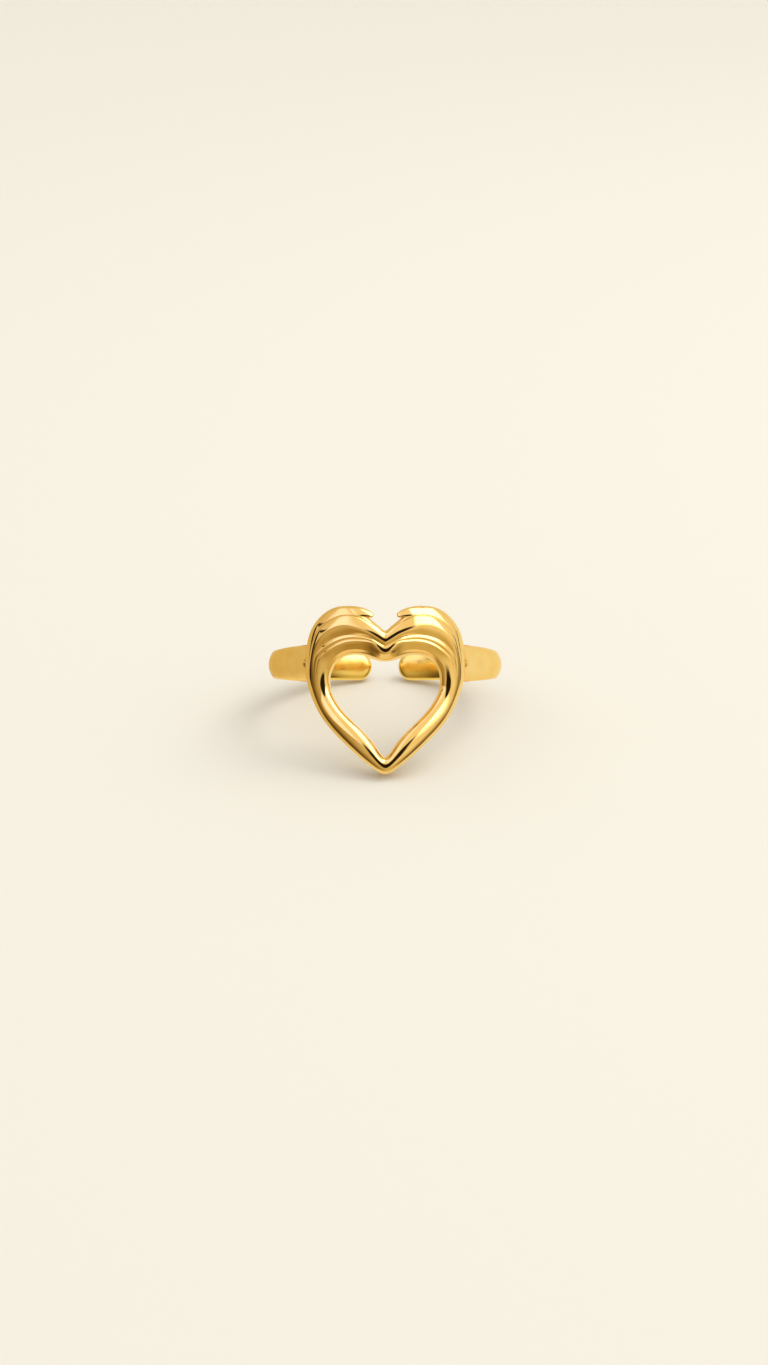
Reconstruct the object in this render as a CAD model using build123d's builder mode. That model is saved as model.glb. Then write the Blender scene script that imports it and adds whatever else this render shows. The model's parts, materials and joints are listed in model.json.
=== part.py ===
from build123d import *
from math import atan2, degrees, sqrt
import os

# An open, adjustable finger ring cast in one piece: a heart-shaped frame in layered folds, and a
# band in two arms whose rounded ends leave a gap. Millimetres.
# It is modelled as worn, with the finger along Y, the face of the heart towards +Z and its lobes
# towards +Y, and is then laid on its side, on the point of the heart and the two ends of the band.

# Band
finger_radius = 8.65
band_wall = 1.5
band_width = 2.6
shoulder_width = 3.0
crown_drop = 0.5
band_gap = 2.7
band_edge_round = 0.2

# Heart frame
heart_half_width = 6.26
heart_height = 13.2
point_drop = 9.14
lobe_width = 3.3
leg_width = 1.5
rim_width = 0.8
face_height = 2.3
face_radius = 16.0
frame_depth = 2.1
leg_round = 0.9
fold_height = 1.7
wall_draft = 0.1

# Curled end of the outer fold, beside the cleft
curl_radius = 0.45
curl_drop = 0.85

# The shoulder keeps its width down to one height and has slimmed to the band at another
shoulder_low = 6.2
band_high = 0.5

# Sections across one half of the frame, from the cleft round the lobe and down the leg to the
# point. x and y place the outer crease of the crown, as shares of heart_half_width and
# heart_height (y from the point), and across is the way the section faces, in degrees. crown is
# its width as a share between leg_width and lobe_width, and rim a share of rim_width. lobed says
# how far its folds are those of the lobe (1) or the cleft (0), and folded how far it is in folds
# (1) or one plain round (0).
sections = [
    dict(x=0.000, y=0.901, across=90.0, crown=0.64, rim=0.04, lobed=0.00, folded=1.00),
    dict(x=0.136, y=0.929, across=86.1, crown=0.78, rim=0.20, lobed=0.15, folded=1.00),
    dict(x=0.304, y=0.965, across=82.7, crown=0.90, rim=0.50, lobed=0.60, folded=1.00),
    dict(x=0.511, y=0.995, across=78.2, crown=1.00, rim=1.00, lobed=1.00, folded=1.00),
    dict(x=0.790, y=0.956, across=69.7, crown=1.00, rim=1.00, lobed=1.00, folded=1.00),
    dict(x=0.958, y=0.842, across=55.2, crown=0.73, rim=0.80, lobed=1.00, folded=0.70),
    dict(x=1.000, y=0.692, across=35.5, crown=0.31, rim=0.60, lobed=1.00, folded=0.20),
    dict(x=0.978, y=0.541, across=9.8, crown=0.07, rim=0.55, lobed=1.00, folded=0.02),
    dict(x=0.860, y=0.395, across=-24.2, crown=-0.02, rim=0.50, lobed=1.00, folded=0.02),
    dict(x=0.570, y=0.227, across=-41.8, crown=-0.02, rim=0.42, lobed=1.00, folded=0.02),
    dict(x=0.296, y=0.096, across=-51.9, crown=-0.02, rim=0.36, lobed=1.00, folded=0.02),
    dict(x=0.136, y=0.037, across=-70.8, crown=-0.14, rim=0.28, lobed=1.00, folded=0.02),
    dict(x=0.000, y=0.003, across=-90.0, crown=-0.12, rim=0.24, lobed=1.00, folded=0.02),
]

# Lines of the folds across a section, from its outer edge to the opening. Where it is folded, a
# line lies at a share (crown) of the crown's width from the opening and at a share (rim) of the
# rim beyond it, and drops below the crest by a share of fold_height, given for the cleft and for
# the lobe. leg is its place on the plain round, as a share of the whole width. The even rows are
# edges and creases, and the rows between are the middles of the folds.
folds = [
    dict(crown=1.00, rim=1.00, leg=1.000, cleft=0.58, lobe=1.02),
    dict(crown=1.00, rim=0.64, leg=0.960, cleft=0.56, lobe=0.50),
    dict(crown=1.00, rim=0.00, leg=0.865, cleft=0.53, lobe=0.25),
    dict(crown=0.75, rim=0.00, leg=0.750, cleft=0.02, lobe=0.00),
    dict(crown=0.53, rim=0.00, leg=0.640, cleft=0.05, lobe=0.16),
    dict(crown=0.47, rim=0.00, leg=0.560, cleft=0.04, lobe=0.14),
    dict(crown=0.42, rim=0.00, leg=0.480, cleft=0.04, lobe=0.18),
    dict(crown=0.38, rim=0.00, leg=0.400, cleft=0.01, lobe=0.15),
    dict(crown=0.34, rim=0.00, leg=0.320, cleft=0.00, lobe=0.17),
    dict(crown=0.12, rim=0.00, leg=0.090, cleft=0.13, lobe=0.47),
    dict(crown=0.00, rim=0.00, leg=0.000, cleft=0.50, lobe=1.06),
]

# Curled end of the outer fold, from its tip to where it has sunk into the lobe. x and y are
# shares of heart_half_width and heart_height, as in the sections, size is a share of curl_radius
# and drop a share of curl_drop.
curl = [
    dict(x=0.182, y=0.994, size=0.42, drop=1.15),
    dict(x=0.240, y=0.999, size=0.67, drop=1.10),
    dict(x=0.327, y=1.004, size=0.93, drop=1.00),
    dict(x=0.447, y=1.012, size=1.00, drop=0.95),
    dict(x=0.575, y=1.015, size=0.95, drop=1.05),
    dict(x=0.700, y=1.005, size=0.80, drop=1.40),
]

back_radius = finger_radius + face_height - frame_depth
band_radius = finger_radius + band_wall
shoulder_reach = heart_half_width - leg_width / 2


def face_level(x):
    """Height at side-to-side place x of the domed face, flatter than the finger."""
    return finger_radius + face_height - face_radius + sqrt(face_radius**2 - x**2)


def back_level(x):
    """Height at side-to-side place x of the back, which arches round the finger."""
    return sqrt(back_radius**2 - x**2)


def plan_point(row):
    """Place of a section or curl row, seen from above the face."""
    return Vector(row["x"] * heart_half_width, row["y"] * heart_height - point_drop)


def crown_width(row):
    """Width of a section from the opening to its outer crease."""
    return leg_width + row["crown"] * (lobe_width - leg_width)


def section_plane(row):
    """Upright plane across the frame, its x axis pointing out of the heart from the opening."""
    across = Vector(1, 0).rotate(Axis.Z, row["across"])
    opening = plan_point(row) - across * crown_width(row)
    return Plane(opening, x_dir=across, z_dir=across.cross(Vector(0, 0, 1)))


def blend(low, high, share):
    """Value at a share of the way from low to high."""
    return low + share * (high - low)


def section_points(row):
    """Fold lines and feet of one section, as (across, height) pairs in its plane."""
    crown = crown_width(row)
    whole = crown + row["rim"] * rim_width
    plane = section_plane(row)

    def sideways(across):
        return plane.from_local_coords((across, 0, 0)).X

    top = []
    for line in folds:
        folded_place = blend(line["crown"] * crown, line["crown"] * whole, line["rim"])
        across = blend(line["leg"] * whole, folded_place, row["folded"])
        plain = leg_round * (1 - sqrt(max(0, 1 - (2 * across / whole - 1) ** 2)))
        fold = fold_height * blend(line["cleft"], line["lobe"], row["lobed"])
        drop = blend(plain, fold, row["folded"])
        top.append((across, face_level(sideways(across)) - drop))
    outer_foot = (whole - wall_draft, back_level(sideways(whole)))
    inner_foot = (wall_draft, back_level(sideways(0)))
    return top, outer_foot, inner_foot


with BuildPart() as band:
    # A hoop with a crowned outside, wide enough for the shoulders
    half_shoulder = shoulder_width / 2
    corner = band_radius - crown_drop * (shoulder_width / band_width) ** 2
    with BuildSketch(Plane.YZ):
        with BuildLine():
            Polyline(
                (-half_shoulder, corner),
                (-half_shoulder, finger_radius),
                (half_shoulder, finger_radius),
                (half_shoulder, corner),
            )
            ThreePointArc((half_shoulder, corner), (0, band_radius), (-half_shoulder, corner))
        make_face()
    revolve(axis=Axis.Y)
    # Seen from the side, it slims from the shoulders to the arms
    with BuildSketch(Plane.YZ):
        with BuildLine():
            Polyline(
                (0, band_radius),
                (half_shoulder, band_radius),
                (half_shoulder, shoulder_low),
                (band_width / 2, band_high),
                (band_width / 2, -band_radius),
                (0, -band_radius),
            )
            mirror(about=Plane.YZ)
        make_face()
    extrude(amount=band_radius, both=True, mode=Mode.INTERSECT)
    # The gap at the bottom leaves two round ends
    with BuildSketch(Plane.XY):
        Rectangle(band_gap + band_width, band_width)
        with GridLocations(band_gap + band_width, 0, 2, 1):
            Circle(band_width / 2, mode=Mode.SUBTRACT)
    extrude(amount=-band_radius, mode=Mode.SUBTRACT)
    # The top is left to the heart frame, whose sides hold the shoulders
    with BuildSketch(Plane.XY):
        Rectangle(2 * shoulder_reach, shoulder_width)
    extrude(amount=band_radius, mode=Mode.SUBTRACT)
    fillet(band.edges().filter_by(lambda edge: edge.center().Z < shoulder_low), band_edge_round)

with BuildPart() as frame:
    for row in sections:
        top, outer_foot, inner_foot = section_points(row)
        with BuildSketch(section_plane(row)):
            with BuildLine():
                for crease in range(0, len(top) - 1, 2):
                    ThreePointArc(top[crease], top[crease + 1], top[crease + 2])
                Polyline(top[-1], inner_foot, outer_foot, top[0])
            make_face()
    loft()

with BuildPart() as curled_end:
    for index, row in enumerate(curl):
        back = plan_point(curl[max(index - 1, 0)])
        ahead = plan_point(curl[min(index + 1, len(curl) - 1)])
        height = face_level(plan_point(row).X) - row["drop"] * curl_drop
        centre = plan_point(row) + Vector(0, 0, height)
        with BuildSketch(Plane(centre, x_dir=(0, 0, 1), z_dir=ahead - back)):
            Circle(row["size"] * curl_radius)
        if index == 0:
            tip = centre
    loft()
    with Locations(tip):
        Sphere(curl[0]["size"] * curl_radius)

with BuildPart() as worn_ring:
    add(frame.part)
    add(curled_end.part)
    mirror(about=Plane.YZ)
    with BuildSketch(Plane.XZ):
        Circle(finger_radius)
    extrude(amount=heart_height, both=True, mode=Mode.SUBTRACT)
    add(band.part)

# It rests on the back of its point and on the outer edges of the band's two ends
point_foot = section_points(sections[-1])[1]
point_reach = section_plane(sections[-1]).from_local_coords((point_foot[0], 0, 0)).Y
end_reach = sqrt((band_radius - crown_drop) ** 2 - ((band_gap + band_width) / 2) ** 2)
lean = degrees(atan2(-band_width / 2 - point_reach, point_foot[1] + end_reach))

with BuildPart() as laid_ring:
    add(worn_ring.part, rotation=(90 - lean, 0, 0))
box = laid_ring.part.bounding_box()

with BuildPart() as heart_ring:
    with Locations((-box.center().X, -box.center().Y, -box.min.Z)):
        add(laid_ring.part)
heart_ring.part.label = "heart_ring"

os.makedirs("parts", exist_ok=True)
export_step(heart_ring.part, "parts/heart_ring.step")
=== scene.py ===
import json
from math import asin, atan2, cos, degrees, pi, radians, sin, sqrt

import bmesh
import bpy
from mathutils import Matrix, Vector


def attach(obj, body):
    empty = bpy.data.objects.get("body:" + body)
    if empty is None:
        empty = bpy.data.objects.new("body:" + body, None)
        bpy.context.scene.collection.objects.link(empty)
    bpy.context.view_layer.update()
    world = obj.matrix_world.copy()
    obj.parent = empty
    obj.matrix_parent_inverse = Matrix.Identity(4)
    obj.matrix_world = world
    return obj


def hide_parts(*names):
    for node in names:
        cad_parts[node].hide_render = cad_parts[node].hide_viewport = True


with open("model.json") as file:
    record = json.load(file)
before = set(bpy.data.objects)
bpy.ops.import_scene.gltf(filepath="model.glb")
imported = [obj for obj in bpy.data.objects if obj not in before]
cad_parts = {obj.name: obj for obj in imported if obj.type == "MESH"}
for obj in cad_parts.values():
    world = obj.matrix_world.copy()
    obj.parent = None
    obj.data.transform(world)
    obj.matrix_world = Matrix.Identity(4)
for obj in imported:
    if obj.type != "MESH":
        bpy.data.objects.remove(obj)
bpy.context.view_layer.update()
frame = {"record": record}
mm = 0.001
mergeReach = 0.0001  # mm, for the places that two mirrored halves share
softLevels = 1       # of subdivision, on every piece

# The worn ring's own axes in the frame: across the heart, up the heart, out of its face
fingerHole = frame["record"]["mounts"][0]
fingerAxis = Vector(fingerHole["axis"]).normalized()
faceAxis = Vector((1, 0, 0)).cross(fingerAxis)
holeCentre = Vector(fingerHole["pos_m"])
leanAngle = atan2(fingerAxis.y, fingerAxis.z)  # how far the finger axis leans from upright
ringAxes = Matrix.Translation(holeCentre) @ Matrix((
    (1, 0, 0, 0),
    (0, fingerAxis.y, faceAxis.y, 0),
    (0, fingerAxis.z, faceAxis.z, 0),
    (0, 0, 0, 1),
)) @ Matrix.Scale(mm, 4)
print("frame loaded, finger axis leans", round(degrees(leanAngle), 2))


def blend(low, high, share):
    return low + (high - low) * share


def ramp(value, low, high):  # 0 at low, 1 at high and even between
    return min(1, max(0, (value - low) / (high - low)))


# The row on the other side of the ring's middle
def mirroredRow(row):
    return {name: -value if name in ("inX", "outX") else value for name, value in row.items()}


# Cubic through table rows, steps places between each pair of rows; a half that ends on the ring's
# middle goes on there into its mirror image
def smoothRows(rows, steps, middle=False):
    before = mirroredRow(rows[1]) if middle else rows[0]
    after = mirroredRow(rows[-2]) if middle else rows[-1]
    padded = [before, *rows, after]
    result = []
    for index in range(len(rows) - 1):
        first, start, end, last = padded[index:index + 4]
        for step in range(steps):
            t = step / steps
            row = {}
            for name in start:
                a, b, c, d = first[name], start[name], end[name], last[name]
                bend = 2 * a - 5 * b + 4 * c - d + t * (3 * (b - c) + d - a)
                row[name] = b + 0.5 * t * (c - a + t * bend)
            result.append(row)
    result.append(dict(rows[-1]))
    return result


# The heart frame, in mm
heartLook = dict(
    faceTop=10.95,      # crest of the face above the finger axis
    faceRound=1.15,     # the face is rounded in the middle
    faceSlope=0.36,     # and slopes this much towards the sides
    backRadius=8.85,    # back, which arches round the finger
    innerRound=1.25,    # height of the plain round beside the opening
    innerTurn=0.75,     # and how far round it turns there
    outerPower=2.5,     # how full it is on the outside
    wallPart=0.143,     # the steep wall of the opening ends at this part of the fold lines
    wallTop=0.765,      # and at this drop
    wallDraft=0.08,
    outerWall=(0.4, 0.75, 0.94),                   # lines down the outer wall, as shares of it
    backLines=(0.99, 0.93, 0.7, 0.3, 0.07, 0.01),  # lines along the back
    innerWall=(0.9, 0.6, 0.3),                     # and lines up the opening's wall
    stationSteps=2,     # sections for each station
    middleReach=0.001,  # places this near the ring's middle are put on it
)

# Stations of one half, from the cleft round the lobe and down the leg to the point: the opening's
# edge (inX, inY) and the outer edge (outX, outY); the shares of the width at which the inner ridge,
# the inner crease, the crest and the outer crease (edge) lie; how far the folds are the lobe's and
# not the cleft's (lobed), and how far the section is folded and not a plain round (folded); the
# crest (top, a share) and outer height (outerDrop) of that round, and how far it is sunk under the
# face (sunk)
stationNames = ("inX", "inY", "outX", "outY", "ridge", "crease", "crest", "edge",
                "lobed", "folded", "top", "outerDrop", "sunk")
stationRows = [
    (0.00,  0.09, 0.00,  2.640, 0.327, 0.505, 0.669, 0.955, 0.00, 1.00, 0.50, 0.72, 0.000),
    (0.22,  0.10, 0.24,  2.790, 0.328, 0.505, 0.669, 0.953, 0.00, 1.00, 0.50, 0.72, 0.000),
    (0.44,  0.13, 0.48,  3.010, 0.345, 0.506, 0.659, 0.945, 0.03, 1.00, 0.50, 0.72, 0.000),
    (0.72,  0.20, 0.80,  3.270, 0.395, 0.510, 0.650, 0.928, 0.14, 1.00, 0.50, 0.72, 0.000),
    (0.98,  0.28, 1.12,  3.540, 0.402, 0.502, 0.635, 0.902, 0.34, 1.00, 0.50, 0.72, 0.000),
    (1.30,  0.40, 1.50,  3.870, 0.372, 0.483, 0.601, 0.864, 0.64, 1.00, 0.50, 0.72, 0.000),
    (1.75,  0.56, 2.08,  4.270, 0.315, 0.442, 0.568, 0.838, 0.92, 1.00, 0.50, 0.72, 0.000),
    (2.20,  0.65, 2.72,  4.600, 0.280, 0.413, 0.562, 0.813, 1.00, 1.00, 0.50, 0.72, 0.000),
    (2.70,  0.66, 3.40,  4.735, 0.264, 0.402, 0.582, 0.797, 1.00, 1.00, 0.48, 0.80, 0.000),
    (3.15,  0.59, 4.10,  4.645, 0.260, 0.402, 0.604, 0.792, 1.00, 1.00, 0.46, 0.90, 0.000),
    (3.55,  0.42, 4.75,  4.380, 0.266, 0.418, 0.624, 0.796, 1.00, 1.00, 0.44, 1.00, 0.000),
    (3.88,  0.20, 5.30,  3.970, 0.283, 0.448, 0.641, 0.806, 1.00, 0.97, 0.43, 1.10, 0.450),
    (4.12, -0.05, 5.78,  3.450, 0.310, 0.482, 0.656, 0.815, 1.00, 0.90, 0.43, 1.20, 0.450),
    (4.30, -0.32, 6.15,  2.880, 0.348, 0.522, 0.672, 0.820, 1.00, 0.78, 0.43, 1.30, 0.450),
    (4.42, -0.60, 6.42,  2.200, 0.405, 0.570, 0.692, 0.825, 1.00, 0.60, 0.44, 1.35, 0.460),
    (4.52, -0.90, 6.60,  1.400, 0.465, 0.620, 0.722, 0.830, 1.00, 0.38, 0.46, 1.32, 0.480),
    (4.58, -1.20, 6.69,  0.550, 0.500, 0.650, 0.745, 0.840, 1.00, 0.18, 0.49, 1.22, 0.515),
    (4.60, -1.55, 6.71, -0.300, 0.500, 0.650, 0.750, 0.850, 1.00, 0.06, 0.52, 1.06, 0.565),
    (4.58, -1.98, 6.65, -1.200, 0.470, 0.620, 0.735, 0.855, 1.00, 0.00, 0.54, 0.92, 0.625),
    (4.45, -2.52, 6.42, -2.150, 0.430, 0.580, 0.710, 0.855, 1.00, 0.00, 0.54, 0.82, 0.675),
    (4.15, -3.11, 6.02, -3.250, 0.400, 0.550, 0.700, 0.855, 1.00, 0.00, 0.52, 0.76, 0.655),
    (3.70, -3.80, 5.46, -4.350, 0.390, 0.540, 0.690, 0.855, 1.00, 0.00, 0.50, 0.72, 0.530),
    (3.10, -4.48, 4.76, -5.320, 0.390, 0.540, 0.690, 0.855, 1.00, 0.00, 0.50, 0.72, 0.400),
    (2.40, -5.17, 3.95, -6.200, 0.390, 0.540, 0.690, 0.855, 1.00, 0.00, 0.50, 0.72, 0.300),
    (1.75, -5.80, 3.06, -7.060, 0.390, 0.540, 0.690, 0.855, 1.00, 0.00, 0.50, 0.72, 0.240),
    (1.16, -6.44, 2.17, -7.860, 0.390, 0.540, 0.690, 0.855, 1.00, 0.00, 0.50, 0.72, 0.200),
    (0.79, -6.94, 1.43, -8.460, 0.390, 0.540, 0.690, 0.855, 1.00, 0.00, 0.50, 0.72, 0.190),
    (0.50, -7.38, 0.84, -8.900, 0.390, 0.540, 0.690, 0.855, 1.00, 0.00, 0.50, 0.72, 0.180),
    (0.22, -7.72, 0.37, -9.190, 0.390, 0.540, 0.690, 0.855, 1.00, 0.00, 0.50, 0.72, 0.180),
    (0.00, -7.84, 0.00, -9.280, 0.390, 0.540, 0.690, 0.855, 1.00, 0.00, 0.50, 0.72, 0.180),
]
heartStations = [dict(zip(stationNames, row)) for row in stationRows]

# Lines along the frame. part is 0 at the opening, 1 at the inner ridge, 2 at the inner crease, 3 at
# the crest, 4 at the outer crease and 5 at the outer edge; the drops are below the face, in mm
foldLines = [
    dict(part=0.000, cleftDrop=1.500, lobeDrop=1.750),
    dict(part=0.035, cleftDrop=1.200, lobeDrop=1.450),
    dict(part=0.070, cleftDrop=0.930, lobeDrop=1.170),
    dict(part=0.105, cleftDrop=0.690, lobeDrop=0.920),
    dict(part=0.125, cleftDrop=0.570, lobeDrop=0.830),
    dict(part=0.143, cleftDrop=0.480, lobeDrop=0.765),  # top of the opening's wall
    dict(part=0.175, cleftDrop=0.448, lobeDrop=0.730),
    dict(part=0.240, cleftDrop=0.402, lobeDrop=0.672),
    dict(part=0.330, cleftDrop=0.342, lobeDrop=0.594),
    dict(part=0.395, cleftDrop=0.300, lobeDrop=0.538),
    dict(part=0.420, cleftDrop=0.284, lobeDrop=0.522),  # lip
    dict(part=0.450, cleftDrop=0.266, lobeDrop=0.508),
    dict(part=0.540, cleftDrop=0.209, lobeDrop=0.474),
    dict(part=0.700, cleftDrop=0.104, lobeDrop=0.412),
    dict(part=0.835, cleftDrop=0.062, lobeDrop=0.350),
    dict(part=0.940, cleftDrop=0.050, lobeDrop=0.280),
    dict(part=1.000, cleftDrop=0.048, lobeDrop=0.240),  # inner ridge
    dict(part=1.137, cleftDrop=0.048, lobeDrop=0.255),
    dict(part=1.250, cleftDrop=0.050, lobeDrop=0.285),
    dict(part=1.285, cleftDrop=0.052, lobeDrop=0.295),  # groove
    dict(part=1.320, cleftDrop=0.053, lobeDrop=0.282),
    dict(part=1.420, cleftDrop=0.058, lobeDrop=0.235),
    dict(part=1.570, cleftDrop=0.070, lobeDrop=0.190),  # outer ridge
    dict(part=1.765, cleftDrop=0.098, lobeDrop=0.205),
    dict(part=1.920, cleftDrop=0.128, lobeDrop=0.240),
    dict(part=1.965, cleftDrop=0.135, lobeDrop=0.252),
    dict(part=2.000, cleftDrop=0.139, lobeDrop=0.260),  # inner crease
    dict(part=2.040, cleftDrop=0.132, lobeDrop=0.244),
    dict(part=2.110, cleftDrop=0.117, lobeDrop=0.215),
    dict(part=2.300, cleftDrop=0.077, lobeDrop=0.145),
    dict(part=2.600, cleftDrop=0.026, lobeDrop=0.060),
    dict(part=3.000, cleftDrop=0.000, lobeDrop=0.000),  # crest
    dict(part=3.250, cleftDrop=0.014, lobeDrop=0.018),
    dict(part=3.500, cleftDrop=0.070, lobeDrop=0.064),
    dict(part=3.700, cleftDrop=0.150, lobeDrop=0.124),
    dict(part=3.850, cleftDrop=0.235, lobeDrop=0.182),
    dict(part=3.940, cleftDrop=0.300, lobeDrop=0.228),
    dict(part=3.980, cleftDrop=0.332, lobeDrop=0.266),
    dict(part=4.000, cleftDrop=0.350, lobeDrop=0.300),  # outer crease
    dict(part=4.030, cleftDrop=0.366, lobeDrop=0.290),
    dict(part=4.080, cleftDrop=0.390, lobeDrop=0.276),
    dict(part=4.160, cleftDrop=0.420, lobeDrop=0.284),
    dict(part=4.300, cleftDrop=0.470, lobeDrop=0.312),
    dict(part=4.480, cleftDrop=0.530, lobeDrop=0.362),
    dict(part=4.640, cleftDrop=0.600, lobeDrop=0.426),
    dict(part=4.770, cleftDrop=0.680, lobeDrop=0.498),
    dict(part=4.870, cleftDrop=0.770, lobeDrop=0.580),
    dict(part=4.940, cleftDrop=0.880, lobeDrop=0.670),
    dict(part=4.982, cleftDrop=1.020, lobeDrop=0.780),
    dict(part=5.000, cleftDrop=1.200, lobeDrop=0.950),
]


def faceLevel(x):
    middle = heartLook["faceRound"]
    return heartLook["faceTop"] + middle - sqrt(middle ** 2 + (heartLook["faceSlope"] * x) ** 2)


def backLevel(x):
    return sqrt(heartLook["backRadius"] ** 2 - x * x)


# Drop of the plain round at a share of its width; its inner side ends at the opening's wall
def plainRound(share, row):
    if share < row["top"]:
        wall = heartLook["wallPart"] * row["ridge"]
        rise = heartLook["innerTurn"] * ramp(share, row["top"], wall)
        return heartLook["innerRound"] * (1 - sqrt(1 - rise ** 2))
    power = heartLook["outerPower"]
    rise = ramp(share, row["top"], 1)
    return row["outerDrop"] * (1 - (1 - rise ** power) ** (1 / power))


# One closed section of the frame, as places in the ring's own axes
def heartSection(row):
    inner = Vector((row["inX"], row["inY"]))
    across = Vector((row["outX"], row["outY"])) - inner
    draft = heartLook["wallDraft"] / across.length
    shares = [0, row["ridge"], row["crease"], row["crest"], row["edge"], 1]
    places = []

    def place(share, level):
        flat = inner + across * share
        places.append(Vector((flat.x, flat.y, level(flat.x))))

    for line in foldLines:
        part = min(int(line["part"]), len(shares) - 2)
        share = blend(shares[part], shares[part + 1], line["part"] - part)
        fold = blend(line["cleftDrop"], line["lobeDrop"], row["lobed"])
        plain = row["sunk"] + plainRound(share, row)
        if line["part"] < heartLook["wallPart"]:
            plain += line["lobeDrop"] - heartLook["wallTop"]
        drop = blend(plain, fold, row["folded"])
        place(share, lambda x: faceLevel(x) - drop)
    outerTop = places[-1].z
    innerTop = places[0].z
    outerBack = backLevel(row["outX"])
    innerBack = backLevel(row["inX"])
    for share in heartLook["outerWall"]:
        place(1 - draft * share, lambda x: blend(outerTop, outerBack, share))
    for share in heartLook["backLines"]:
        place((1 - draft) * share, backLevel)
    for share in heartLook["innerWall"]:
        place(0, lambda x: blend(innerTop, innerBack, share))
    return places


# Every piece is one half: a closed section swept along, its open ends closed or on the ring's
# middle, and mirrored
def sweepSections(mesh, sections):
    ring = [mesh.verts.new(place) for place in sections[0]]
    edges = [mesh.edges.new((ring[index], ring[index - 1])) for index in range(len(ring))]
    for section in sections[1:]:
        grown = bmesh.ops.extrude_edge_only(mesh, edges=edges)["geom"]
        fresh = {item for item in grown if isinstance(item, bmesh.types.BMVert)}
        edges = [item for item in grown if isinstance(item, bmesh.types.BMEdge)]
        edges = [edge for edge in edges if all(vert in fresh for vert in edge.verts)]
        # each new vertex still lies on the one that it grew from, which gives the ring's order
        lookup = {tuple(vert.co): vert for vert in fresh}
        ring = [lookup[tuple(vert.co)] for vert in ring]
        for vert, place in zip(ring, section):
            vert.co = place


def closeEnds(mesh):
    openEdges = [edge for edge in mesh.edges if edge.is_boundary]
    bmesh.ops.holes_fill(mesh, edges=openEdges)


def mirrorHalf(mesh):
    half = [*mesh.verts, *mesh.edges, *mesh.faces]
    bmesh.ops.mirror(mesh, geom=half, axis="X", merge_dist=mergeReach)


def meshObject(mesh, name, material):
    data = bpy.data.meshes.new(name)
    mesh.to_mesh(data)
    mesh.free()
    data.materials.append(material)
    piece = bpy.data.objects.new(name, data)
    bpy.context.collection.objects.link(piece)
    return piece


def finishPiece(mesh, name, material):
    bmesh.ops.recalc_face_normals(mesh, faces=mesh.faces)
    mesh.transform(ringAxes)
    piece = meshObject(mesh, name, material)
    piece.data.shade_smooth()
    soften = piece.modifiers.new("soften", "SUBSURF")
    soften.levels = softLevels
    soften.render_levels = softLevels
    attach(piece, "root")
    return piece


# A socket takes a number, a colour or the output of another node
def feed(tree, socket, value):
    if isinstance(value, bpy.types.NodeSocket):
        tree.links.new(value, socket)
    elif isinstance(value, tuple):
        socket.default_value = (*value, 1)
    else:
        socket.default_value = value


def mathNode(tree, operation, *values):
    node = tree.nodes.new("ShaderNodeMath")
    node.operation = operation
    for socket, value in zip(node.inputs, values):
        feed(tree, socket, value)
    return node.outputs[0]


def lengthNode(tree, first, second):
    squares = [mathNode(tree, "MULTIPLY", value, value) for value in (first, second)]
    return mathNode(tree, "SQRT", mathNode(tree, "ADD", *squares))


def rangeNode(tree, course, value, low, high, first=0, last=1):
    node = tree.nodes.new("ShaderNodeMapRange")
    node.interpolation_type = course
    feed(tree, node.inputs["Value"], value)
    numbers = {"From Min": low, "From Max": high, "To Min": first, "To Max": last}
    for name, number in numbers.items():
        node.inputs[name].default_value = number
    return node.outputs["Result"]


def mixNode(tree, share, first, second):
    node = tree.nodes.new("ShaderNodeMix")
    node.data_type = "RGBA"
    feed(tree, node.inputs["Factor"], share)
    colours = [item for item in node.inputs if item.type == "RGBA"]
    for socket, value in zip(colours, (first, second)):
        feed(tree, socket, value)
    return [item for item in node.outputs if item.type == "RGBA"][0]


# Gold plating, polished by hand. Each noise is given as its scale, detail and roughness
goldLook = dict(
    colour=(0.96, 0.69, 0.28),
    worn=(0.93, 0.62, 0.22),          # warmer patches
    patchNoise=(0.9, 3, 0.5),
    patchRange=(0.35, 0.72),          # the noise where they begin and are full
    edgeTint=(1.0, 0.88, 0.62),       # where it is seen at a grazing angle
    # painted reflection: a deeper amber gold on the inside that stands in for the warm reflections
    # seen inside the band
    paintedInsideAmber=(0.96, 0.70, 0.21),
    insideRadius=(9.09, 8.93),        # mm from the finger axis, where the inside begins and is full
    insideRoughness=0.10,             # the inside is only brushed
    roughness=(0.045, 0.11),          # clear, and in the haze
    hazeNoise=(2.2, 5, 0.6),
    hazeRange=(0.35, 0.7),
    waveNoise=(0.55, 1, 0.5),         # slow waves of the polish
    waveHeight=0.05,                  # mm
    waveStrength=0.25,
    scratchNoise=(1.0, 3, 0.5),
    scratchTurn=(0, 0, 0.5),
    scratchScale=(3.0, 40.0, 14.0),   # fine across the scratches and long along them
    scratchHeight=0.0015,             # mm
    scratchStrength=0.10,
)


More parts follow.
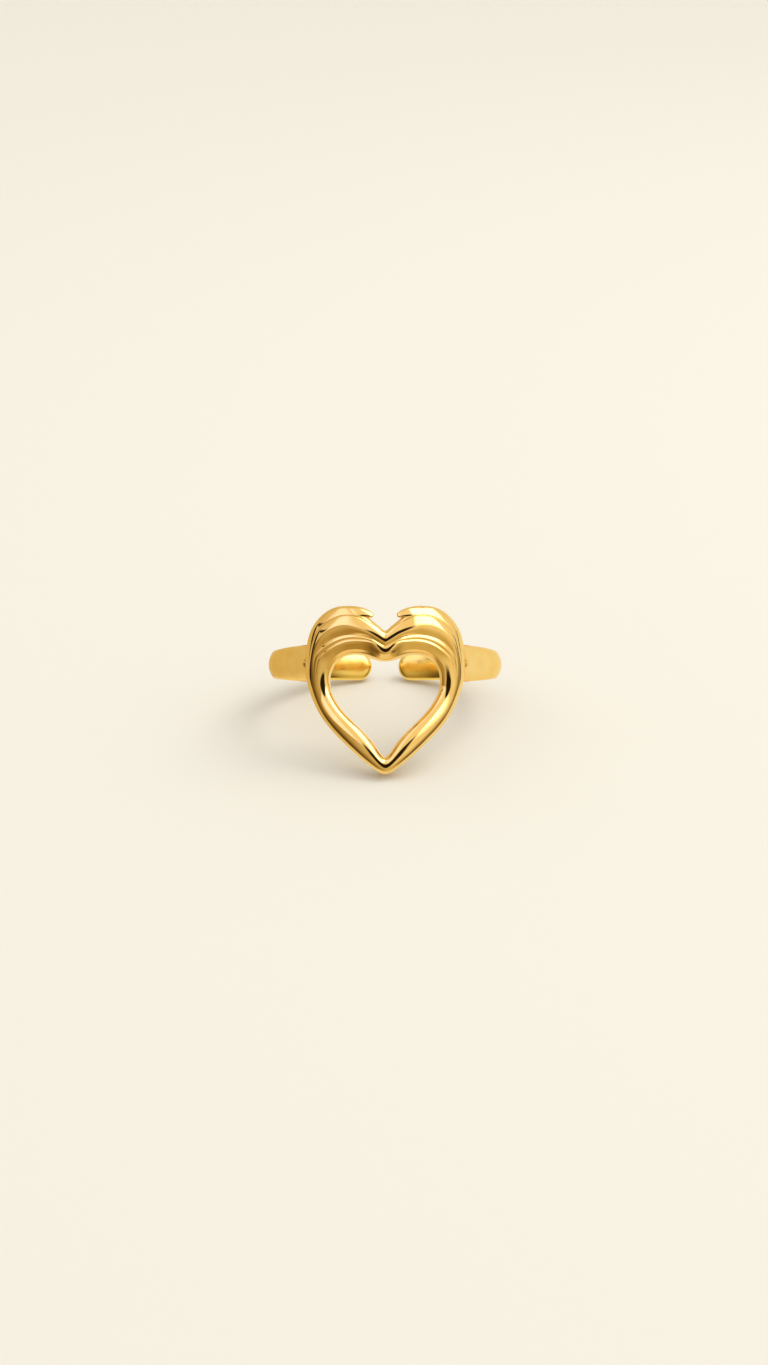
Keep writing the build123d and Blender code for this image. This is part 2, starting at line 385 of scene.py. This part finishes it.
def polishedGold():
    look = goldLook
    material = bpy.data.materials.new("polishedGold")
    material.use_nodes = True
    tree = material.node_tree
    nodes = tree.nodes
    links = tree.links
    shader = nodes["Principled BSDF"]
    shader.inputs["Metallic"].default_value = 1.0
    shader.inputs["Specular Tint"].default_value = (*look["edgeTint"], 1)

    def noise(vector, scale, detail, roughness):
        node = nodes.new("ShaderNodeTexNoise")
        node.inputs["Scale"].default_value = scale
        node.inputs["Detail"].default_value = detail
        node.inputs["Roughness"].default_value = roughness
        links.new(vector, node.inputs["Vector"])
        return node.outputs["Fac"]

    def bump(height, strength, depth):
        node = nodes.new("ShaderNodeBump")
        node.inputs["Strength"].default_value = strength
        node.inputs["Distance"].default_value = depth * mm
        links.new(height, node.inputs["Height"])
        return node

    # the ring's own axes in mm, for the distance from the finger axis and the polishing direction
    own = nodes.new("ShaderNodeMapping")
    own.vector_type = "TEXTURE"
    own.inputs["Location"].default_value = holeCentre
    own.inputs["Rotation"].default_value = (pi / 2 - leanAngle, 0, 0)
    own.inputs["Scale"].default_value = (mm, mm, mm)
    links.new(nodes.new("ShaderNodeTexCoord").outputs["Object"], own.inputs["Vector"])
    place = own.outputs["Vector"]
    split = nodes.new("ShaderNodeSeparateXYZ")
    links.new(place, split.inputs["Vector"])
    fromAxis = lengthNode(tree, split.outputs["X"], split.outputs["Z"])
    inside = rangeNode(tree, "LINEAR", fromAxis, *look["insideRadius"])

    # warmer and paler patches in the plating, and a deeper amber inside, painted to stand in for
    # the warm reflections there
    patches = rangeNode(tree, "LINEAR", noise(place, *look["patchNoise"]), *look["patchRange"])
    tint = mixNode(tree, patches, look["colour"], look["worn"])
    tint = mixNode(tree, inside, tint, look["paintedInsideAmber"])
    links.new(tint, shader.inputs["Base Color"])

    # hazy patches, and the inside brushed
    haze = noise(place, *look["hazeNoise"])
    haze = rangeNode(tree, "LINEAR", haze, *look["hazeRange"], *look["roughness"])
    brushed = mathNode(tree, "MULTIPLY", inside, look["insideRoughness"])
    links.new(mathNode(tree, "ADD", haze, brushed), shader.inputs["Roughness"])

    # slow waves of the hand polish, and fine scratches along it
    waves = bump(noise(place, *look["waveNoise"]), look["waveStrength"], look["waveHeight"])
    stretch = nodes.new("ShaderNodeMapping")
    stretch.inputs["Rotation"].default_value = look["scratchTurn"]
    stretch.inputs["Scale"].default_value = look["scratchScale"]
    links.new(place, stretch.inputs["Vector"])
    fine = noise(stretch.outputs["Vector"], *look["scratchNoise"])
    scratches = bump(fine, look["scratchStrength"], look["scratchHeight"])
    links.new(waves.outputs["Normal"], scratches.inputs["Normal"])
    links.new(scratches.outputs["Normal"], shader.inputs["Normal"])
    return material


gold = polishedGold()

heartMesh = bmesh.new()
stations = smoothRows(heartStations, heartLook["stationSteps"], middle=True)
sweepSections(heartMesh, [heartSection(row) for row in stations])
for vert in heartMesh.verts:
    if abs(vert.co.x) < heartLook["middleReach"]:
        vert.co.x = 0
mirrorHalf(heartMesh)
heartFrame = finishPiece(heartMesh, "heartFrame", gold)
print("heart frame made")

# The curled end of the outer fold, beside the cleft, from its tip on: the middle of each section,
# its half width, its half height above (high) and below (deep) the middle, and how far its top lies
# under the face (drop), in mm
curlPath = [
    dict(x=0.965, y=3.920, wide=0.055, high=0.030, deep=0.06, drop=0.660),
    dict(x=0.985, y=3.925, wide=0.125, high=0.070, deep=0.11, drop=0.600),
    dict(x=1.040, y=3.935, wide=0.190, high=0.100, deep=0.15, drop=0.550),
    dict(x=1.140, y=3.955, wide=0.255, high=0.130, deep=0.18, drop=0.510),
    dict(x=1.300, y=3.990, wide=0.315, high=0.150, deep=0.21, drop=0.470),
    dict(x=1.500, y=4.050, wide=0.375, high=0.165, deep=0.24, drop=0.440),
    dict(x=1.750, y=4.120, wide=0.430, high=0.185, deep=0.27, drop=0.410),
    dict(x=2.050, y=4.175, wide=0.480, high=0.210, deep=0.30, drop=0.385),
    dict(x=2.400, y=4.215, wide=0.515, high=0.250, deep=0.33, drop=0.375),
    dict(x=2.800, y=4.240, wide=0.530, high=0.290, deep=0.34, drop=0.385),
    dict(x=3.300, y=4.245, wide=0.525, high=0.330, deep=0.34, drop=0.430),
    dict(x=3.800, y=4.200, wide=0.485, high=0.340, deep=0.34, drop=0.520),
    dict(x=4.400, y=3.980, wide=0.420, high=0.320, deep=0.32, drop=0.740),
]
curlLook = dict(
    steps=2,           # sections for each row of the path
    sides=20,          # places round each section
    tilt=radians(28),  # its outer side lies lower
)


def curlSections():
    rows = smoothRows(curlPath, curlLook["steps"])
    tilt = curlLook["tilt"]
    sides = curlLook["sides"]
    upright = Vector((0, 0, 1))
    sections = []
    for index, row in enumerate(rows):
        back = rows[max(index - 1, 0)]
        ahead = rows[min(index + 1, len(rows) - 1)]
        along = Vector((ahead["x"] - back["x"], ahead["y"] - back["y"], 0)).normalized()
        level = Vector((-along.y, along.x, 0))
        across = (level * cos(tilt) - upright * sin(tilt)) * row["wide"]
        up = upright * cos(tilt) + level * sin(tilt)
        middle = Vector((row["x"], row["y"], faceLevel(row["x"]) - row["drop"] - row["high"]))
        section = []
        for side in range(sides):
            turn = 2 * pi * side / sides
            height = row["high"] if sin(turn) > 0 else row["deep"]
            section.append(middle + across * cos(turn) + up * height * sin(turn))
        sections.append(section)
    return sections


curlMesh = bmesh.new()
sweepSections(curlMesh, curlSections())
closeEnds(curlMesh)
mirrorHalf(curlMesh)
finishPiece(curlMesh, "curledEnd", gold)
print("curled ends made")

# The band, in mm; heights are above the finger axis, towards the heart
bandLook = dict(
    innerRadius=8.65,
    outerRadius=10.15,
    crownDrop=0.47,       # the outside's edges lie this much lower than its middle
    armWidth=2.5,
    shoulderWidth=3.22,
    widening=(1.8, 7.6),  # heights between which the arm widens to the shoulder
    gap=2.7,
    edgeRound=0.22,
    insideBulge=0.24,     # the inside is a little proud along its middle
    insideLift=0.27,      # and runs out under the frame's back
    lifting=(4.8, 6.5),   # between these heights
    topAngle=55.0,        # degrees above the finger's side axis, hidden in the frame
    roundSteps=10,        # sections of the round end
    hoopSteps=34,         # and of the rest
    leastRound=0.0003,    # keeps the tip of the round end from closing to a line
    sides=(0.0, 0.25, 0.5, 0.72, 0.86, 0.94, 0.985, 1.0),  # lines along half of the width
    wallLines=(0.3, 0.7),                                  # lines down its rim, as shares
)


# The band's edge rounds off towards reach 1, the rim of the arms and of their round ends
def rimRound(reach):
    edge = bandLook["edgeRound"]
    past = max(0, min(1, (reach - 1) * bandLook["armWidth"] / 2 / edge + 1))
    return edge * (1 - sqrt(1 - past ** 2))


# One closed section of the band at an angle from straight down, as places in the ring's own axes
def bandSection(angle, endAngle, roundAngle):
    look = bandLook
    endRadius = look["armWidth"] / 2
    middleRadius = (look["innerRadius"] + look["outerRadius"]) / 2
    height = -cos(radians(angle)) * middleRadius
    half = blend(look["armWidth"], look["shoulderWidth"], ramp(height, *look["widening"])) / 2
    lift = ramp(height, *look["lifting"])
    lift = look["insideLift"] * lift * lift * (3 - 2 * lift)
    toRound = max(0, 1 - (angle - endAngle) / roundAngle)  # 1 at the very end of the arm
    half *= sqrt(max(look["leastRound"], 1 - toRound ** 2))
    outside = []
    inside = []
    for side in look["sides"]:
        y = side * half
        reach = sqrt((y / endRadius) ** 2 + toRound ** 2) if toRound > 0 else side
        rim = rimRound(reach)
        outside.append((y, look["outerRadius"] - look["crownDrop"] * (y / endRadius) ** 2 - rim))
        bulge = look["insideBulge"] * min(reach, 1) ** 4
        inside.append((y, look["innerRadius"] + bulge + rim + lift))
    edgeY, edgeHigh = outside[-1]
    edgeLow = inside[-1][1]
    wall = [(edgeY, blend(edgeHigh, edgeLow, share)) for share in look["wallLines"]]
    right = outside + wall + inside[::-1]
    left = [(-y, radius) for y, radius in right[::-1] if y > 0]
    outX, outZ = sin(radians(angle)), -cos(radians(angle))
    return [Vector((outX * radius, y, outZ * radius)) for y, radius in right + left]


def bandSections():
    look = bandLook
    roundSteps = look["roundSteps"]
    hoopSteps = look["hoopSteps"]
    endAngle = degrees(asin((look["gap"] / 2) / look["outerRadius"]))
    roundAngle = degrees(look["armWidth"] / 2 / look["outerRadius"])
    # dense in the round end, and even from there to the top
    turns = [1 - cos(pi / 2 * step / roundSteps) for step in range(roundSteps + 1)]
    angles = [endAngle + roundAngle * turn for turn in turns]
    start = angles[-1]
    last = 90 + look["topAngle"]
    angles += [start + (last - start) * step / hoopSteps for step in range(1, hoopSteps + 1)]
    return [bandSection(angle, endAngle, roundAngle) for angle in angles]


bandMesh = bmesh.new()
sweepSections(bandMesh, bandSections())
closeEnds(bandMesh)
mirrorHalf(bandMesh)
finishPiece(bandMesh, "ringBand", gold)
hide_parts("heart_ring")
print("band made")


def plainMaterial(name, colour, roughness):
    material = bpy.data.materials.new(name)
    material.use_nodes = True
    shader = material.node_tree.nodes["Principled BSDF"]
    shader.inputs["Base Color"].default_value = (*colour, 1)
    shader.inputs["Roughness"].default_value = roughness
    return material


floorLook = dict(size=8.0, colour=(0.735, 0.72, 0.675), roughness=0.9)  # size in metres


def paleFloor():
    material = plainMaterial("paleFloor", floorLook["colour"], floorLook["roughness"])
    mesh = bmesh.new()
    bmesh.ops.create_grid(mesh, x_segments=1, y_segments=1, size=floorLook["size"] / 2)
    floor = meshObject(mesh, "floor", material)
    floor.visible_glossy = False


paleFloor()

# The room that shows in the polish. A place in it is the tangent of half the angle from straight in
# front of the heart, rightwards and upwards, so that 1 is the heart's own plane. Edges are soft, so
# each is given as where it begins and where it is full
studioLook = dict(
    # below: warm and dim, dimmer deep down and to the left
    nearFloor=dict(between=(-0.60, 0.20), left=(0.42, 0.30, 0.10), right=(0.97, 0.86, 0.60)),
    deepFloor=dict(between=(-0.30, 0.20), left=(0.42, 0.29, 0.095), right=(0.66, 0.53, 0.25)),
    nearToDeep=(-0.08, -0.34),
    shades=[
        dict(centre=(-0.80, -0.38), size=(0.34, 0.40), soft=0.55, colour=(0.11, 0.065, 0.02)),
        dict(centre=(0.80, -0.36), size=(0.30, 0.34), soft=0.60, colour=(0.26, 0.165, 0.06)),
        dict(centre=(0.64, -0.47), size=(0.10, 0.10), soft=0.25, colour=(0.03, 0.018, 0.007)),
    ],
    paleFoot=dict(downward=(-0.48, -0.70), aside=(0.60, 0.35), colour=(0.95, 0.80, 0.52)),
    # above: a pale ceiling, a narrow soft box to the left and a wide one to the right
    ceiling=dict(between=(-0.6, 0.0), left=(0.80, 0.68, 0.48), right=(1.0, 0.90, 0.70)),
    leftBox=dict(leftEdge=(-0.48, -0.36), rightEdge=(-0.15, -0.27), topEdge=(0.90, 0.55),
                 colour=(1.35, 1.22, 1.45)),
    rightBox=dict(leftEdge=(0.215, 0.265), lean=0.3, rightEdge=(0.50, 0.46), topEdge=(0.95, 0.75),
                  foot=(0.06, 0.20), footShare=0.2, colour=(3.5, 3.4, 3.2)),
    horizon=(0.010, 0.060),
    # a dark wedge that climbs to the left from the horizon
    wedge=dict(foot=(-0.30, 0.03), climb=0.62, thickening=(-0.38, -0.70), thick=(0.002, 0.037),
               edge=(1.25, 0.75), leftEdge=(-0.95, -0.89), rightEdge=(-0.37, -0.43),
               colour=(0.03, 0.018, 0.007)),
    # the lens and the dark round it, almost straight in front
    lens=dict(centre=(0.03, 0.0), size=(0.185, 0.185), soft=0.11, colour=(0.022, 0.014, 0.008)),
    # the room darkens to a rim in the heart's own plane, less so level with the face
    rim=dict(rising=(0.10, 0.40), start=(0.86, 0.91), edge=(0.0, 0.05), level=(0.10, 0.25),
             levelShare=0.2, colour=(0.13, 0.075, 0.03)),
    # and is pale behind it
    behind=dict(between=(-1.0, 1.0), left=(0.72, 0.60, 0.34), right=(0.96, 0.92, 0.76)),
    behindFloor=dict(downward=(-0.4, -0.9), colour=(0.93, 0.84, 0.60)),
    behindFrom=(0.93, 0.98),
    fill=(1.02, 0.99, 0.92),         # even light on the floor
    backdrop=(0.86, 0.82, 0.76),     # what the camera sees past the floor
    strength=1.0,
    tangentBase=1.001,               # a little over the tangent's own 1, so nothing is divided by 0
)


def studioWorld():
    look = studioLook
    world = bpy.data.worlds.new("studio")
    bpy.context.scene.world = world
    world.use_nodes = True
    tree = world.node_tree
    nodes = tree.nodes
    links = tree.links
    background = nodes["Background"]

    def math(operation, *values):
        return mathNode(tree, operation, *values)

    def mix(share, first, second):
        return mixNode(tree, share, first, second)

    def step(value, edge, first=0, last=1):  # smooth, from first where the edge begins to last
        return rangeNode(tree, "SMOOTHSTEP", value, *edge, first, last)

    def shade(value, colours):
        return mix(step(value, colours["between"]), colours["left"], colours["right"])

    def patch(spot):  # 1 inside an ellipse
        aside, upward = [
            math("DIVIDE", math("SUBTRACT", value, middle), half)
            for value, middle, half in zip((right, top), spot["centre"], spot["size"])
        ]
        return step(lengthNode(tree, aside, upward), (1 + spot["soft"], 1 - spot["soft"]))

    direction = nodes.new("ShaderNodeTexCoord")
    turn = nodes.new("ShaderNodeMapping")
    turn.inputs["Rotation"].default_value = (leanAngle - pi / 2, 0, 0)
    links.new(direction.outputs["Generated"], turn.inputs["Vector"])
    split = nodes.new("ShaderNodeSeparateXYZ")
    links.new(turn.outputs["Vector"], split.inputs["Vector"])
    toRight, toTop, toFront = split.outputs
    depth = math("ADD", toFront, look["tangentBase"])
    right = math("DIVIDE", toRight, depth)
    top = math("DIVIDE", toTop, depth)
    reach = lengthNode(tree, right, top)

    # the floor's side
    near = shade(right, look["nearFloor"])
    deep = shade(right, look["deepFloor"])
    lower = mix(step(top, look["nearToDeep"]), near, deep)
    for spot in look["shades"]:
        lower = mix(patch(spot), lower, spot["colour"])
    foot = look["paleFoot"]
    footShare = step(math("ABSOLUTE", right), foot["aside"])
    footShare = math("MULTIPLY", step(top, foot["downward"]), footShare)
    lower = mix(footShare, lower, foot["colour"])

    # the ceiling and the soft boxes
    upper = shade(right, look["ceiling"])
    box = look["leftBox"]
    boxShare = math("MULTIPLY", step(right, box["leftEdge"]), step(right, box["rightEdge"]))
    boxShare = math("MULTIPLY", boxShare, step(top, box["topEdge"]))
    upper = mix(boxShare, upper, box["colour"])
    box = look["rightBox"]
    leaning = math("MULTIPLY_ADD", top, box["lean"], right)
    boxShare = math("MULTIPLY", step(leaning, box["leftEdge"]), step(right, box["rightEdge"]))
    boxShare = math("MULTIPLY", boxShare, step(top, box["topEdge"]))
    boxShare = math("MULTIPLY", boxShare, step(top, box["foot"], box["footShare"], 1))
    upper = mix(boxShare, upper, box["colour"])
    room = mix(step(top, look["horizon"]), lower, upper)

    # the wedge and the lens
    wedge = look["wedge"]
    leftward = math("SUBTRACT", wedge["foot"][0], right)
    lineTop = math("MULTIPLY_ADD", leftward, wedge["climb"], wedge["foot"][1])
    thick = step(right, wedge["thickening"], *wedge["thick"])
    away = math("DIVIDE", math("ABSOLUTE", math("SUBTRACT", top, lineTop)), thick)
    wedgeShare = math("MULTIPLY", step(right, wedge["leftEdge"]), step(right, wedge["rightEdge"]))
    wedgeShare = math("MULTIPLY", step(away, wedge["edge"]), wedgeShare)
    room = mix(wedgeShare, room, wedge["colour"])
    room = mix(patch(look["lens"]), room, look["lens"]["colour"])

    # the rim in the heart's plane, and the room behind it
    rim = look["rim"]
    rimStart = step(top, rim["rising"], *rim["start"])
    rimShare = step(math("SUBTRACT", reach, rimStart), rim["edge"])
    levelShare = step(math("ABSOLUTE", top), rim["level"], rim["levelShare"], 1)
    room = mix(math("MULTIPLY", rimShare, levelShare), room, rim["colour"])
    behind = shade(math("DIVIDE", right, reach), look["behind"])
    downward = step(math("DIVIDE", top, reach), look["behindFloor"]["downward"])
    behind = mix(downward, behind, look["behindFloor"]["colour"])
    room = mix(step(reach, look["behindFrom"]), room, behind)

    rays = nodes.new("ShaderNodeLightPath")
    room = mix(rays.outputs["Is Diffuse Ray"], room, look["fill"])
    room = mix(rays.outputs["Is Camera Ray"], room, look["backdrop"])
    links.new(room, background.inputs["Color"])
    background.inputs["Strength"].default_value = look["strength"]


studioWorld()

# Dark cards on either side of the heart, level with its face, that show in the polish alone: place
# in the ring's own axes, depth and length in mm
cardLook = dict(
    leftCard=dict(place=(-12.0, 1.5, 9.28), depth=2.3, length=9.4),
    rightCard=dict(place=(12.0, 0.6, 8.62), depth=0.95, length=8.0),
)
cardBlack = dict(colour=(0.012, 0.008, 0.004), roughness=1.0)


def placeCards():
    material = plainMaterial("cardBlack", cardBlack["colour"], cardBlack["roughness"])
    turn = Matrix.Rotation(pi / 2, 3, "Y")
    for name, look in cardLook.items():
        mesh = bmesh.new()
        bmesh.ops.create_circle(mesh, cap_ends=True, segments=32, radius=0.5)
        bmesh.ops.scale(mesh, vec=(look["depth"], look["length"], 1), verts=mesh.verts)
        bmesh.ops.rotate(mesh, cent=(0, 0, 0), matrix=turn, verts=mesh.verts)
        bmesh.ops.translate(mesh, vec=look["place"], verts=mesh.verts)
        mesh.transform(ringAxes)
        card = meshObject(mesh, name, material)
        card.visible_camera = False
        card.visible_diffuse = False
        card.visible_shadow = False


placeCards()

windowLook = dict(place=(0.26, 0.08, 0.38), size=0.30, power=0.60, colour=(1.0, 0.93, 0.82))


def windowLight():
    data = bpy.data.lights.new("windowLight", "AREA")
    data.shape = "DISK"
    data.size = windowLook["size"]
    data.energy = windowLook["power"]
    data.color = windowLook["colour"]
    light = bpy.data.objects.new("windowLight", data)
    bpy.context.collection.objects.link(light)
    place = Vector(windowLook["place"])
    light.location = place
    light.rotation_euler = (holeCentre - place).to_track_quat("-Z", "Y").to_euler()
    light.visible_glossy = False


windowLight()
print("floor, studio and light made")

cameraLook = dict(
    distance=220.0,      # mm from the finger hole's middle, along the face's direction
    aside=-0.10,
    below=-1.55,         # where the view axis crosses the ring's own middle plane
    slope=-0.011,
    lens=66.67,
    sensor=36,
    clip=(0.005, 20),    # metres
)


def productCamera():
    look = cameraLook
    data = bpy.data.cameras.new("productCamera")
    data.lens = look["lens"]
    data.sensor_width = look["sensor"]
    data.sensor_fit = "AUTO"
    data.clip_start, data.clip_end = look["clip"]
    camera = bpy.data.objects.new("productCamera", data)
    bpy.context.collection.objects.link(camera)
    backward = (fingerAxis * look["slope"] + faceAxis).normalized()
    sideways = Vector((1, 0, 0))
    upward = backward.cross(sideways)
    above = look["below"] + look["slope"] * look["distance"]
    place = ringAxes @ Vector((look["aside"], above, look["distance"]))
    turn = Matrix((sideways, upward, backward)).transposed().to_4x4()
    camera.matrix_world = Matrix.Translation(place) @ turn
    bpy.context.scene.camera = camera


productCamera()
view = bpy.context.scene.view_settings
view.view_transform = "Standard"
view.look = "None"
print("camera placed")
